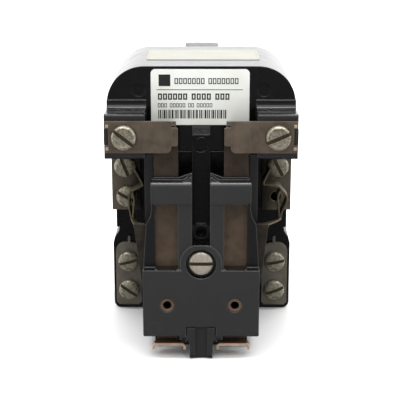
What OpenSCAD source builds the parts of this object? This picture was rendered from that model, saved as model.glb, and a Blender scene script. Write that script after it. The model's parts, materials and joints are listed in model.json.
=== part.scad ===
// Clapper-type industrial control relay with two changeover poles.
// It stands on its lower edge, the front faces -Y and the panel mounting plate is at the back.
// All sizes are in millimetres. Inside the modules y is the depth behind the front plane, and
// at_front() moves a finished sub-part so that the origin is under the middle of the relay.

/* [Overall] */
// Depth from the front plane to the back of the mounting plate
body_d = 73; // [72.5:0.5:76]
// Width across the lower terminal blocks
base_w = 63.4; // [62:0.2:64]
// Width across the hood and the upper terminal blocks
body_w = 60.2; // [59.6:0.2:60.4]
// Height of the hood's top
body_h = 93.1; // [92:0.1:94]

/* [Hood] */
// Depth of the dome's front face
hood_front = 15; // [14.8:0.1:15.4]
// Depth of the dome's back face
hood_back = 64; // [63:0.5:66]
// Height of the hood's underside
hood_floor = 65.7; // [65.5:0.1:66]
// Radius of the dome's upper corners
hood_r = 12; // [10:0.5:13]
// Depth of the shoulder blocks' front face
shoulder_front = 3.2; // [3.2:0.1:3.4]
// Height of the shoulder blocks at the front
shoulder_top = 79.9; // [79.5:0.1:80.5]

/* [Base] */
// Depth of the upper blocks' front face
upper_front = 28; // [27.8:0.1:30]
// Height of the upper blocks' underside
upper_bottom = 42.5; // [42:0.1:42.6]
// Depth of the neck's front face
neck_front = 34; // [33:0.5:36]
// Height of the neck's underside
neck_bottom = 34.6; // [34:0.1:36]
// Depth of the lower blocks' front face
lower_front = 47; // [46.9:0.1:48]
// Height at which the lower blocks reach their full width
lower_top = 25.7; // [25.5:0.1:26.5]

/* [Carrier] */
// Width of the carrier's lower plate
plate_w = 37.2; // [37:0.1:37.4]
// Height of the lower plate's bottom edge
plate_bottom = 7.9; // [7.7:0.1:8]
// Height of the lower plate's top edge
plate_top = 30.2; // [30:0.1:30.4]
// Thickness of the carrier
carrier_t = 5; // [5:0.05:5.05]
// Height of the hub's centre
hub_h = 32.3; // [32.2:0.1:32.4]
// Height of the crossbars' lower edge
crossbar_bottom = 52; // [51.5:0.1:52.5]
// Width of the contact arms
arm_w = 7.7; // [7.5:0.1:7.7]

/* [Magnet] */
// Height of the coil's axis
core_h = 26.5; // [26.3:0.1:26.7]
// Radius of the core
core_r = 6; // [5.8:0.1:6]
// Outer radius of the winding
coil_r = 12.3; // [11.5:0.1:12.4]

/* [Hinge] */
// Height of the hinge pin
hinge_h = 5; // [4.9:0.05:5.1]
// Depth of the hinge pin
hinge_y = 7; // [6.9:0.05:7.1]
// Radius of the hinge pin
hinge_r = 1.25; // [1.1:0.05:1.3]

/* [Hidden] */
$fn = 64;
EPS = 0.01;

body_half = body_w / 2;
base_half = base_w / 2;
back_t = 2.5;
plate_face = body_d - back_t;

// base moulding
wall_in = 15.3;
wall_out = 18.1;
wall_front = 9.6;
neck_half = 29.3;
floor_t = 5.9;
floor_front = 12;
wall_bottom = 4;
deck_bottom = 52;
deck_t = 3;
bulkhead_t = 3;
back_wall = plate_face - 4.5;
post_half = 4.5;
post_h = 10.8;
post_d = 11;
tongue_h = 3;
bar_half = 2.85;
bar_front = 10;
bar_bottom = 40;
boss_h = 40.35;
boss_front = 8.5;
boss_half = 2.6;
block_bore_d = 9;

// hood
hood_wall = 2.5;
shoulder_in = 17.5;
front_plate_t = 1.2;
nub_low = 70.4;
nub_high = 75.6;

// terminals and contacts
terminal_t = 1.2;
front_plate_y = shoulder_front - front_plate_t;
front_plate_low = 67.9;
front_plate_high = 77.9;
front_screw = [23.9, 72.9];
common_screws = [[25.5, 57.9], [24.9, 47.5]];
rear_screws = [[26.2, 18.2], [26.2, 7.4]];
screw_r = 1.7;
tap_r = 1.75;
head_r = 3.85;
head_t = 2;
common_head_r = 3.65;
rear_head_r = 3.7;
tip = [11.1, 73];
tip_r = 2.2;
rear_bar_y = 11.4;
strap_t = 1.2;

// carrier and arms
slot_half = 2.86;
bar_out = 7.26;
window_out = 14.55;
crossbar_half = 15.7;
crossbar_top = 59.1;
lip_y = 3.5;
hub_r = 6.65;
recess_r = 4.8;
rivet = [10.83, 18.5];
rivet_hole_r = 1.35;
rivet_tube_r = 1.6;
rivet_flange_r = 2.25;
arm_t = 0.8;
arm_in = 7.2;
arm_bottom = 6.5;
arm_top = 76;
clip_t = 0.7;
lead_t = 0.4;

// magnet
armature_half = 6.6;
armature_t = 2.5;
armature_y = carrier_t + 0.05;
armature_top = 34.5;
flange_half = 15;
flange_t = 1.5;
coil_front = 12;
yoke_back = 63;
yoke_t = 3;
yoke_half = 8;
core_front = 9.2;
spring_h = 13.6;
spring_r = 1.7;
spring_wire = 0.4;
spring_turns = 4;

// mounting plate
ear_half = 6;
ear_top = 93.5;
panel_holes = [12, 84];
panel_hole_r = 1.65;
plate_screws_at = [[17.4, 6], [17.4, 60]];
plate_screw_r = 1.4;
plate_head_r = 2.9;
hood_screw = [23.5, 40.5];
hood_screw_low = neck_bottom + 3;

// ---- helpers ----------------------------------------------------------------

module at_front() translate([0, -body_d / 2, 0]) children();

module both_sides() {
    children();
    mirror([1, 0, 0]) children();
}

module box(low, high) translate(low) cube(high - low);

// A 2D outline in x and height, extruded between two depths
module along_y(from, to) translate([0, to, 0]) rotate([90, 0, 0]) linear_extrude(to - from) children();

// A 2D outline in depth and height, extruded between two x positions
module along_x(from, to) translate([from, 0, 0]) rotate([90, 0, 90]) linear_extrude(to - from) children();

// A round rod or bore that runs back along y from a point given as [x, height]
module rod(at, r, from, to) translate([at[0], to, at[1]]) rotate([90, 0, 0]) cylinder(r = r, h = to - from);

module rounded_rect(low, high, r) {
    translate([low[0] + r, low[1]]) square([high[0] - low[0] - 2 * r, high[1] - low[1]]);
    translate([low[0], low[1] + r]) square([high[0] - low[0], high[1] - low[1] - 2 * r]);
    for (x = [low[0] + r, high[0] - r], y = [low[1] + r, high[1] - r]) translate([x, y]) circle(r);
}

// Points on an arc, from one angle to another
function arc(centre, r, from, to, steps = 8) =
    [for (i = [0:steps]) let (a = from + (to - from) * i / steps) centre + r * [cos(a), sin(a)]];

// One edge of a bent strip: every point of its centre line, moved sideways with mitred corners
function strip_edge(points, side) = [for (i = [0:len(points) - 1])
    let (before = points[i] - points[max(i - 1, 0)])
    let (after = points[min(i + 1, len(points) - 1)] - points[i])
    let (u = norm(before) > 0 ? before / norm(before) : after / norm(after))
    let (v = norm(after) > 0 ? after / norm(after) : u)
    let (m = u + v)
    points[i] + 2 * side * [-m[1], m[0]] / (m * m)];

// A strip of constant thickness along a 2D line of points
module strip_line(points, t) {
    right = strip_edge(points, -t / 2);
    polygon(concat(strip_edge(points, t / 2), [for (i = [len(points) - 1:-1:0]) right[i]]));
}

// A slotted cheese-head screw whose head starts at depth y and points back along y
module slotted_screw(at, y, r, t, shank_r, shank, turn) {
    edge = 0.45;
    slot_w = 0.95;
    slot_d = 1;
    profile = concat([[0, 0]], arc([r - edge, edge], edge, -90, 0), [[r, t], [0, t]]);
    translate([at[0], y, at[1]]) {
        difference() {
            rotate([-90, 0, 0]) rotate_extrude() polygon(profile);
            rotate([0, -turn, 0]) box([-r - 1, -1, -slot_w / 2], [r + 1, slot_d, slot_w / 2]);
        }
        translate([0, t, 0]) rotate([-90, 0, 0]) cylinder(r = shank_r, h = shank);
    }
}

// ---- base moulding ----------------------------------------------------------

module lower_block_outline() {
    r = 2.5;
    polygon(concat(
        [[wall_in, 0]],
        arc([base_half - r, r], r, -90, 0),
        [[base_half, lower_top - 1], [base_half - 0.5, lower_top + 1], [neck_half + 0.4, lower_top + 3.4],
         [neck_half, lower_top + 5.5], [neck_half, neck_bottom + EPS], [wall_in, neck_bottom + EPS]]));
}

module side_mass() {
    box([wall_in, wall_front, wall_bottom], [wall_out, plate_face, hood_floor]);
    box([wall_in, upper_front, upper_bottom], [body_half, plate_face, hood_floor]);
    box([wall_in, neck_front, neck_bottom], [neck_half, plate_face, upper_bottom + EPS]);
    along_y(lower_front, plate_face) lower_block_outline();
}

// The hinge post at the front: its lower front edge is rounded, its foot is narrower than its
// head and a groove runs up its face
module hinge_post() {
    r = 1.5;
    foot_half = 3.7;
    foot_h = 5.2;
    head_low = 7.2;
    groove_half = 2.05;
    groove_d = 0.9;
    difference() {
        union() {
            intersection() {
                along_x(-post_half, post_half)
                    polygon(concat(arc([r, r], r, -90, -180), [[0, post_h], [post_d, post_h], [post_d, 0]]));
                along_y(-1, post_d + 1) polygon([
                    [-foot_half, -1], [foot_half, -1], [foot_half, foot_h], [post_half, head_low],
                    [post_half, post_h + 1], [-post_half, post_h + 1], [-post_half, head_low],
                    [-foot_half, foot_h]]);
            }
            box([-foot_half, post_d - EPS, 0], [foot_half, floor_front + EPS, tongue_h]);
        }
        box([-groove_half, -1, -1], [groove_half, groove_d, post_h + 1]);
    }
}

// The centre bar of the contact chamber, with its sloped top, round seat and hollow ring boss
module centre_bar() {
    top = 74.2;
    slope_low = 72.1;
    seat_h = 69.1;
    seat_r = 2.6;
    difference() {
        along_x(-bar_half, bar_half)
            polygon([[bar_front, bar_bottom], [bar_front, slope_low], [hood_front - 0.6, top],
                     [hood_front, top], [hood_front, hood_floor], [hood_front + EPS, bar_bottom]]);
        rod([0, seat_h], seat_r, bar_front - 1, bar_front + 0.3);
    }
    rod([0, seat_h], seat_r - 0.35, bar_front, bar_front + 1);
}

module base_solid() {
    both_sides() side_mass();
    // floor, deck over the coil, front bulkhead and back wall
    box([-wall_in - EPS, floor_front, 0], [wall_in + EPS, plate_face, floor_t]);
    box([-wall_in - EPS, hood_front, deck_bottom], [wall_in + EPS, plate_face, deck_bottom + deck_t]);
    box([-wall_in - EPS, hood_front, deck_bottom], [wall_in + EPS, hood_front + bulkhead_t, hood_floor]);
    box([-wall_in - EPS, back_wall, 0], [wall_in + EPS, plate_face, hood_floor]);
    hinge_post();
    centre_bar();
    along_y(boss_front, bar_front + 1.5)
        rounded_rect([-boss_half, boss_h - boss_half], [boss_half, boss_h + boss_half], 1.3);
    // hanger that joins the ring boss and the centre bar to the deck
    box([-bar_half, bar_front, bar_bottom], [bar_half, hood_front + 1, deck_bottom + EPS]);
}

module base_moulding() {
    boss_bore_r = 1.75;
    boss_bore_d = 2.6;
    flange_gap = 0.4;
    lug_slot = [[9, 52, -1], [14.5, 62, floor_t + 1]];
    yoke_head_r = 3.2;
    color("#1c1c1e") at_front() difference() {
        base_solid();
        rod([0, boss_h], boss_bore_r, boss_front - 1, boss_front + boss_bore_d);
        // room for the bobbin's front flange behind the ring boss
        box([-bar_half - 1, coil_front - flange_gap, bar_bottom - 5],
            [bar_half + 1, hood_front + 2, core_h + flange_half + flange_gap]);
        translate([-post_half - 1, hinge_y, hinge_h]) rotate([0, 90, 0])
            cylinder(r = hinge_r, h = 2 * post_half + 2);
        both_sides() {
            box(lug_slot[0], lug_slot[1]);
            rear_strap(0.05);
            for (p = common_screws) rod(p, tap_r + 0.3, upper_front - 1, upper_front + block_bore_d);
            for (p = rear_screws) rod(p, tap_r + 0.3, lower_front - 1, lower_front + block_bore_d);
            for (p = plate_screws_at) rod(p, plate_screw_r + 0.05, plate_face - 8, plate_face + 1);
            translate([hood_screw[0], hood_screw[1], 0]) {
                translate([0, 0, neck_bottom - 1]) cylinder(r = 3.2, h = 4);
                translate([0, 0, neck_bottom]) cylinder(r = screw_r + 0.1, h = 40);
            }
        }
        // screw heads of the yoke, and room for the core screw and the lower panel screw
        for (y = yoke_screw_depths()) translate([0, y, -1]) {
            cylinder(r = yoke_head_r, h = 4);
            cylinder(r = screw_r + 0.1, h = floor_t + 2);
        }
        rod([0, core_h], 4.4, back_wall - 1, plate_face + 1);
        rod([0, panel_holes[0]], 2.6, back_wall - 1, plate_face + 1);
    }
}

// ---- hood -------------------------------------------------------------------

module dome_outline(inset) {
    half = body_half - inset;
    top = body_h - inset;
    r = hood_r - inset;
    low = hood_floor + inset;
    polygon(concat(
        [[-half, low], [half, low]],
        arc([half - r, top - r], r, 0, 90, 24),
        arc([-half + r, top - r], r, 90, 180, 24)));
}

// A shoulder block: a flat front for the terminal and a ledge that curves up at its back to a
// narrow step in front of the dome
module shoulder() {
    edge_r = 0.8;
    cove_r = 2.1;
    cove = [hood_front - 0.7 - cove_r, shoulder_top - 0.3 + cove_r];
    step_h = shoulder_top + 2.5;
    along_x(shoulder_in, body_half) polygon(concat(
        [[hood_front + EPS, hood_floor]],
        arc([shoulder_front + edge_r, hood_floor + edge_r], edge_r, -90, -180, 5),
        arc([shoulder_front + edge_r, shoulder_top - edge_r], edge_r, 180, 95, 5),
        arc(cove, cove_r, -90, 0, 10),
        [[cove[0] + cove_r, step_h], [hood_front + EPS, step_h]]));
}

module hood() {
    boss = 3.4;
    boss_top = 77;
    opening = [[-12, 21, hood_floor - 1], [12, 58, hood_floor + hood_wall + 1]];
    mark = [19.9, 85.5];
    mark_r = 2.1;
    color("#1a1a1c") at_front() {
        difference() {
            union() {
                difference() {
                    along_y(hood_front, hood_back) dome_outline(0);
                    along_y(hood_front + hood_wall, hood_back - hood_wall) dome_outline(hood_wall);
                    box(opening[0], opening[1]);
                }
                both_sides() translate([hood_screw[0], hood_screw[1], hood_floor])
                    cylinder(r = boss, h = boss_top - hood_floor);
                both_sides() shoulder();
                // nubs that key the outer ends of the front plates
                both_sides() box([body_half - 1.1, front_plate_y + 0.2, nub_low + 0.2],
                                 [body_half, shoulder_front + EPS, nub_high - 0.2]);
            }
            both_sides() {
                rod(front_screw, tap_r + 0.3, 0, hood_front - 1);
                rod(mark, mark_r, 0, hood_front + 0.12);
                translate([hood_screw[0], hood_screw[1], hood_floor - 1])
                    cylinder(r = screw_r + 0.02, h = 10.1);
            }
        }
    }
}

module front_label() {
    low = [-16, 74.3];
    high = [15.3, 92.2];
    color("#e6e8e2") at_front() along_y(hood_front - 0.15, hood_front) rounded_rect(low, high, 1.4);
}

module top_label() {
    color("#f4f3ea") at_front() translate([0, 0, body_h]) linear_extrude(0.15)
        rounded_rect([-18.1, 29], [19.1, 54], 0.8);
}

// ---- mounting plate ---------------------------------------------------------

module mounting_plate() {
    color("#8d9095") at_front() difference() {
        union() {
            along_y(plate_face, body_d) rounded_rect([-27, 0.6], [27, 88], 2);
            along_y(plate_face, body_d) rounded_rect([-ear_half, 80], [ear_half, ear_top], 0.8);
        }
        for (h = panel_holes) rod([0, h], panel_hole_r, plate_face - 1, body_d + 1);
        both_sides() for (p = plate_screws_at) {
            rod(p, plate_screw_r + 0.1, plate_face - 1, body_d + 1);
            rod(p, plate_head_r + 0.1, body_d - 1.3, body_d + 1);
        }
    }
}

module plate_screws() {
    color("#b9b6ad") at_front() both_sides() for (p = plate_screws_at) difference() {
        union() {
            rod(p, plate_head_r, body_d - 1.25, body_d - 0.1);
            rod(p, plate_screw_r, plate_face - 7, body_d - 1);
        }
        translate([p[0], body_d, p[1]]) box([-4, -0.8, -0.4], [4, 1, 0.4]);
    }
}

module hood_screws() {
    head = 2.2;
    shank = hood_floor + 9 - hood_screw_low;
    at = [hood_screw[0], hood_screw[1], hood_screw_low];
    color("#b9b6ad") at_front() both_sides() translate(at) difference() {
        union() {
            translate([0, 0, -head]) cylinder(r = 2.9, h = head);
            cylinder(r = screw_r, h = shank);
        }
        box([-4, -0.4, -head - 1], [4, 0.4, -head + 0.8]);
    }
}

// ---- terminals --------------------------------------------------------------

// The right-hand front plate: notched at its outer end round the nub, with a tongue in front of
// the contact arm at its inner end
module front_plate() {
    low = front_plate_low;
    high = front_plate_high;
    out = body_half - 0.1;
    in = 9.2;
    notch = 1.2;
    top_r = 0.4;
    low_r = 1.6;
    tongue_r = 0.7;
    tongue_low = 70.1;
    tongue_high = 75.9;
    difference() {
        along_y(front_plate_y, shoulder_front) polygon(concat(
            [[out, low], [out, nub_low], [out - notch, nub_low], [out - notch, nub_high], [out, nub_high]],
            [[out, high]],
            arc([in + top_r, high - top_r], top_r, 90, 180, 4),
            [[in, tongue_high]],
            arc([arm_in + tongue_r, tongue_high - tongue_r], tongue_r, 90, 180, 4),
            arc([arm_in + tongue_r, tongue_low + tongue_r], tongue_r, 180, 270, 4),
            [[in, tongue_low]],
            arc([in + low_r, low + low_r], low_r, 180, 270, 6)));
        rod(front_screw, tap_r, 0, shoulder_front + 1);
    }
}

module front_terminal_right() color("#5a4e47") at_front() front_plate();

module front_terminal_left() color("#5a4e47") at_front() mirror([1, 0, 0]) front_plate();

module front_terminal_screws() {
    color("#aaa59a") at_front() {
        slotted_screw([-front_screw[0], front_screw[1]], 0, head_r, front_plate_y, screw_r, 10, -38);
        slotted_screw(front_screw, 0, head_r, front_plate_y, screw_r, 10, 23);
    }
}

module common_plate() {
    difference() {
        along_y(upper_front - terminal_t, upper_front)
            rounded_rect([20.4, 42.8], [body_half - 0.1, 64], 0.6);
        for (p = common_screws) rod(p, tap_r, upper_front - 3, upper_front + 1);
    }
}

module common_terminal_right() color("#5b5047") at_front() common_plate();

module common_terminal_left() color("#5b5047") at_front() mirror([1, 0, 0]) common_plate();

// The right-hand block carries only its upper screw, and its lower hole is free
module common_terminal_screws() {
    y = upper_front - terminal_t - head_t;
    upper = common_screws[0];
    lower = common_screws[1];
    color("#a5a093") at_front() {
        slotted_screw(upper, y, common_head_r, head_t, screw_r, 8, -63);
        slotted_screw([-upper[0], upper[1]], y, common_head_r, head_t, screw_r, 8, -68);
        slotted_screw([-lower[0], lower[1]], y, common_head_r, head_t, screw_r, 8, -28);
    }
}

// The right-hand normally open strap: contact bar in the chamber, a run back over the coil,
// a cross piece and a leg inside the moulding, and a stub forward to the terminal plate
module rear_strap(clear) {
    c = [clear, clear, clear];
    run_low = 57;
    run_high = 62;
    run_out = 14.6;
    run_in = run_out - strap_t;
    leg_y = 52;
    leg = [22, 25];
    stub = [20.9, 24.2];
    box([8, rear_bar_y, run_low] - c, [run_out, rear_bar_y + strap_t, arm_top] + c);
    box([run_in, rear_bar_y, run_low] - c, [run_out, leg_y + strap_t, run_high] + c);
    box([run_in, leg_y, run_low] - c, [leg[1], leg_y + strap_t, run_high] + c);
    box([leg[0], leg_y, stub[0]] - c, [leg[1], leg_y + strap_t, run_high] + c);
    box([leg[0], lower_front - EPS, stub[0]] - c, [leg[1], leg_y + strap_t, stub[1]] + c);
}

module rear_plate() {
    low = [21.7, 1.6];
    high = [base_half - 0.9, 25.2];
    r = 3.5;
    tab = [25.5, 26.4];
    along_y(lower_front - terminal_t, lower_front) {
        polygon(concat(
            [low + [0, 1], low + [1, 0], [high[0] - 1, low[1]], [high[0], low[1] + 1]],
            arc([high[0] - r, high[1] - r], r, 0, 90), arc([low[0] + r, high[1] - r], r, 90, 180)));
        translate([tab[0], high[1] - 1]) square([tab[1] - tab[0], 3.2]);
    }
}

module rear_contact() {
    difference() {
        union() {
            rear_strap(0);
            rear_plate();
        }
        for (p = rear_screws) rod(p, tap_r, lower_front - 3, lower_front + 1);
    }
}

module rear_contact_right() color("#6b6258") at_front() rear_contact();

module rear_contact_left() color("#6b6258") at_front() mirror([1, 0, 0]) rear_contact();

module rear_terminal_screws() {
    y = lower_front - terminal_t - head_t;
    turns = [[10, 21], [15, -34]];
    color("#a5a093") at_front() for (i = [0, 1]) {
        p = rear_screws[i];
        slotted_screw(p, y, rear_head_r, head_t, screw_r, 8, turns[0][i]);
        slotted_screw([-p[0], p[1]], y, rear_head_r, head_t, screw_r, 8, turns[1][i]);
    }
}

module fixed_contact_tips() {
    color("#c9c4b6") at_front() both_sides() {
        rod(tip, tip_r, shoulder_front, shoulder_front + 0.9);
        rod(tip, tip_r, rear_bar_y - 0.8, rear_bar_y);
    }
}

// ---- flexible leads ---------------------------------------------------------

// A V bend under the upper terminal screw that opens into a teardrop loop beside the lower one.
// The loop is folded at its lower end, where a tail runs forward to the flat strap.
module flex_lead(line, fold) {
    y = [17, 23];
    along_y(y[0], y[1]) strip_line(line, lead_t);
    box([20, 7.4, fold[1] - lead_t], [fold[0] + 0.1, y[1], fold[1] + 0.1]);
}

module flex_lead_right() {
    fold = [25.8, 44.2];
    line = [[22.2, 58.7], [20.1, 55.5], [24.5, 54.7], [27.4, 52.9], [28, 51.2], [26.8, 46.9],
            fold + [0.4, 0.4], fold, fold + [-0.4, 0.4], [25.1, 47.5], [25.2, 51.3], [25.9, 53.1]];
    color("#7a6c58") at_front() flex_lead(line, fold);
}

module flex_lead_left() {
    fold = [22.6, 44.2];
    line = [[21.9, 58.7], [19.4, 55], [22.6, 53.1], [23.6, 51.4], [23.5, 48.6], fold + [0.4, 0.4],
            fold, fold + [-0.4, 0.4], [21.9, 48], [21.9, 51], [22.3, 52.4]];
    color("#7a6c58") at_front() mirror([1, 0, 0]) flex_lead(line, fold);
}

// The flat strap that carries the lead down behind the carrier to the rivet
module lead_strap() {
    y = carrier_t + arm_t + clip_t;
    difference() {
        along_y(y, y + lead_t) polygon([
            [7.6, 13.6], [14.4, 13.6], [17.4, 18], [19.3, 24], [20.5, 34], [21.6, 43.6], [16.2, 43.6],
            [14.6, 30], [12, 24], [8, 22.6]]);
        rod(rivet, rivet_tube_r + 0.05, y - 1, y + 2);
    }
}

module lead_strap_right() color("#6b5a4b") at_front() lead_strap();

module lead_strap_left() color("#6b5a4b") at_front() mirror([1, 0, 0]) lead_strap();

// ---- magnet -----------------------------------------------------------------

function yoke_screw_depths() = [24, 48];

module yoke() {
    prong_in = 4.9;
    prong_front = 9;
    color("#7f8184") at_front() difference() {
        union() {
            box([-yoke_half, coil_front, floor_t], [yoke_half, yoke_back, floor_t + yoke_t]);
            box([-yoke_half, yoke_back - yoke_t, floor_t], [yoke_half, yoke_back, 36]);
            both_sides() box([prong_in, prong_front, floor_t],
                             [yoke_half, coil_front + EPS, floor_t + yoke_t]);
        }
        rod([0, core_h], screw_r + 0.4, yoke_back - yoke_t - 1, yoke_back + 1);
        for (y = yoke_screw_depths()) translate([0, y, 0]) cylinder(r = screw_r, h = 20);
    }
}

module yoke_screws() {
    head = 2.2;
    color("#b9b6ad") at_front() for (y = yoke_screw_depths()) translate([0, y, 3]) difference() {
        union() {
            translate([0, 0, -head]) cylinder(r = 3, h = head);
            cylinder(r = screw_r - 0.02, h = floor_t + yoke_t - 3.2);
        }
        box([-4, -0.4, -head - 1], [4, 0.4, -head + 0.8]);
    }
}

module core() {
    ring_d = 1.6;
    color("#9a9c9e") at_front() difference() {
        rod([0, core_h], core_r, core_front, yoke_back - yoke_t);
        difference() {
            rod([0, core_h], 4.6, core_front - 1, core_front + ring_d);
            rod([0, core_h], 3.4, core_front - 2, core_front + ring_d + 1);
        }
        rod([0, core_h], screw_r + 0.02, yoke_back - yoke_t - 9, yoke_back);
    }
}

module core_screw() {
    head = 2.4;
    color("#b9b6ad") at_front() difference() {
        union() {
            rod([0, core_h], 3.8, yoke_back, yoke_back + head);
            rod([0, core_h], screw_r, yoke_back - yoke_t - 8, yoke_back + EPS);
        }
        translate([0, yoke_back + head, core_h]) box([-5, -0.9, -0.5], [5, 1, 0.5]);
    }
}

module shading_ring() {
    color("#b87f5a") at_front() difference() {
        rod([0, core_h], 4.55, core_front + 0.05, core_front + 1.55);
        rod([0, core_h], 3.45, core_front - 1, core_front + 3);
    }
}

module coil_bobbin() {
    back = yoke_back - yoke_t - 0.1;
    wall = 1.1;
    low = core_h - flange_half;
    high = core_h + flange_half;
    color("#d8d2bd") at_front() difference() {
        union() {
            rod([0, core_h], core_r + 0.05 + wall, coil_front, back);
            for (y = [coil_front, back - flange_t])
                along_y(y, y + flange_t) rounded_rect([-flange_half, low], [flange_half, high], 2);
        }
        rod([0, core_h], core_r + 0.05, coil_front - 1, back + 1);
    }
}

module coil_tube(inner, outer) {
    front = coil_front + flange_t + 0.05;
    back = yoke_back - yoke_t - 0.15 - flange_t;
    difference() {
        rod([0, core_h], outer, front, back);
        rod([0, core_h], inner, front - 1, back + 1);
    }
}

module coil_winding() color("#a5693c") at_front() coil_tube(core_r + 1.2, coil_r);

module coil_wrap() color("#3b2e22") at_front() coil_tube(coil_r + 0.02, coil_r + 0.5);

module coil_lugs() {
    y = yoke_back - yoke_t - 0.1;
    color("#c8c3b4") at_front() both_sides() difference() {
        box([10, y, 0.8], [13.4, y + 0.6, 20]);
        rod([11.7, 3], 0.8, y - 1, y + 2);
    }
}

// ---- moving parts -----------------------------------------------------------

module hinge_pin() {
    color("#a7a59f") at_front() translate([-7, hinge_y, hinge_h]) rotate([0, 90, 0])
        cylinder(r = hinge_r, h = 14);
}

// A round wire coil with closed end turns, swept as one polyhedron
module return_spring() {
    sides = 8;
    steps = spring_turns * 20;
    y0 = armature_y + armature_t + spring_wire;
    y1 = coil_front - spring_wire;
    function spring_point(i, k) =
        let (t = i / steps, turn = 360 * spring_turns * t, a = 360 * k / sides)
        let (rise = t < 0.2 ? 0.1 * t : t > 0.8 ? 1 - 0.1 * (1 - t) : 0.02 + (t - 0.2) * 0.96 / 0.6)
        let (r = spring_r + spring_wire / 2 * cos(a))
        [r * cos(turn), y0 + (y1 - y0) * rise + spring_wire / 2 * sin(a), spring_h + r * sin(turn)];
    points = [for (i = [0:steps], k = [0:sides - 1]) spring_point(i, k)];
    walls = [for (i = [0:steps - 1], k = [0:sides - 1])
        [i * sides + k, i * sides + (k + 1) % sides,
         (i + 1) * sides + (k + 1) % sides, (i + 1) * sides + k]];
    caps = [[for (k = [sides - 1:-1:0]) k], [for (k = [0:sides - 1]) steps * sides + k]];
    color("#b5b2aa") at_front() polyhedron(points, concat(walls, caps));
}

module armature() {
    ear_in = post_half + 0.3;
    ear_r = 1.9;
    back = armature_y + armature_t;
    color("#85878a") at_front() difference() {
        union() {
            along_y(armature_y, back)
                rounded_rect([-armature_half, post_h + 0.3], [armature_half, armature_top], 0.8);
            both_sides() {
                box([ear_in, armature_y, hinge_h], [armature_half, back, post_h + 2]);
                translate([ear_in, hinge_y, hinge_h]) rotate([0, 90, 0])
                    cylinder(r = ear_r, h = armature_half - ear_in);
            }
        }
        translate([-10, hinge_y, hinge_h]) rotate([0, 90, 0]) cylinder(r = hinge_r + 0.05, h = 20);
        rod([0, hub_h], screw_r + 0.02, armature_y - 1, back + 1);
    }
}

// Outline of one half of the carrier's frame, from the plate's top edge to the crossbar
module frame_half() {
    difference() {
        polygon([[slot_half, plate_top - 2], [18.5, plate_top - 2], [18.5, plate_top], [18, 37.5],
                 [17.5, 44.4], [16.1, 47.2], [crossbar_half, 49.5], [crossbar_half, 58],
                 [slot_half, 58]]);
        rounded_rect([bar_out, plate_top], [window_out, crossbar_bottom], 0.9);
    }
}

// A ramp on the crossbar that rises towards the slot
module horn(out, low, rise) {
    polygon([[slot_half, low - 1], [out, low - 1], [out, low], [slot_half + 0.5, low + rise],
             [slot_half, low + rise]]);
}

// The crossbar's profile in depth and height: a rounded front edge and a lip at the back
module crossbar_profile() {
    r = 1.5;
    polygon(concat(
        [[carrier_t, crossbar_bottom], [0, crossbar_bottom]],
        arc([r, crossbar_top - r], r, 180, 90),
        [[lip_y, crossbar_top], [lip_y, crossbar_top + 0.8], [carrier_t, crossbar_top + 0.8]]));
}

// A crossbar with a cropped lower corner and a rounded upper corner at its outer end
module crossbar() {
    crop = 1.1;
    corner_r = 1.3;
    high = crossbar_top + 0.8;
    intersection() {
        along_x(slot_half, crossbar_half) crossbar_profile();
        along_y(-1, carrier_t + 1) polygon(concat(
            [[slot_half - 1, crossbar_bottom], [crossbar_half - crop, crossbar_bottom],
             [crossbar_half, crossbar_bottom + crop]],
            arc([crossbar_half - corner_r, high - corner_r], corner_r, 0, 90),
            [[slot_half - 1, high]]));
    }
}

module contact_carrier() {
    bar_recess = 0.6;
    side_recess = 3.4;
    horn_front = 0.9;
    notch_half = post_half + 0.3;
    mark = [-14.8, 11];
    color("#38383a") at_front() difference() {
        union() {
            along_y(0, carrier_t) rounded_rect([-plate_w / 2, plate_bottom], [plate_w / 2, plate_top], 0.5);
            difference() {
                both_sides() along_y(bar_recess, carrier_t) frame_half();
                both_sides() box([window_out, -1, plate_top], [plate_w, side_recess, crossbar_bottom]);
            }
            both_sides() crossbar();
            both_sides() {
                along_y(horn_front, carrier_t) horn(5.7, crossbar_top - 0.1, 1.6);
                along_y(lip_y, carrier_t) horn(7.1, crossbar_top + 0.7, 1.4);
            }
            rod([0, hub_h], hub_r, 0, carrier_t);
        }
        // slot above the hub, counterbore, rivet seats, post notch and a round mark
        box([-slot_half, -1, hub_h + hub_r - 0.4], [slot_half, carrier_t + 1, 70]);
        rod([0, hub_h], recess_r, -1, 2.4);
        rod([0, hub_h], screw_r + 0.3, -1, carrier_t + 1);
        both_sides() {
            rod(rivet, rivet_flange_r + 0.1, -1, 0.4);
            rod(rivet, rivet_tube_r + 0.05, -1, carrier_t + 1);
        }
        box([-notch_half, -1, 0], [notch_half, carrier_t + 1, post_h + 0.3]);
        difference() {
            rod(mark, 2.15, -1, 0.08);
            rod(mark, 1.9, -2, 1);
        }
    }
}

module carrier_screw() {
    color("#b3ad9f") at_front() slotted_screw([0, hub_h], 0.4, 3.95, head_t, screw_r, 5, 0);
}

module contact_arm() {
    y = carrier_t;
    crop = 1.1;
    difference() {
        along_y(y, y + arm_t) polygon([
            [arm_in, arm_bottom], [arm_in + arm_w, arm_bottom], [arm_in + arm_w, arm_top - crop],
            [arm_in + arm_w - crop, arm_top], [arm_in + crop, arm_top], [arm_in, arm_top - crop]]);
        rod(rivet, rivet_tube_r + 0.05, y - 1, y + 2);
    }
}

module contact_arm_right() color("#5d4a3e") at_front() contact_arm();

module contact_arm_left() color("#5d4a3e") at_front() mirror([1, 0, 0]) contact_arm();

module moving_contact_tips() {
    back = carrier_t + arm_t;
    color("#c9c4b6") at_front() both_sides() {
        rod(tip, tip_r, shoulder_front + 0.93, carrier_t);
        rod(tip, tip_r, back, back + 1);
    }
}

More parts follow.
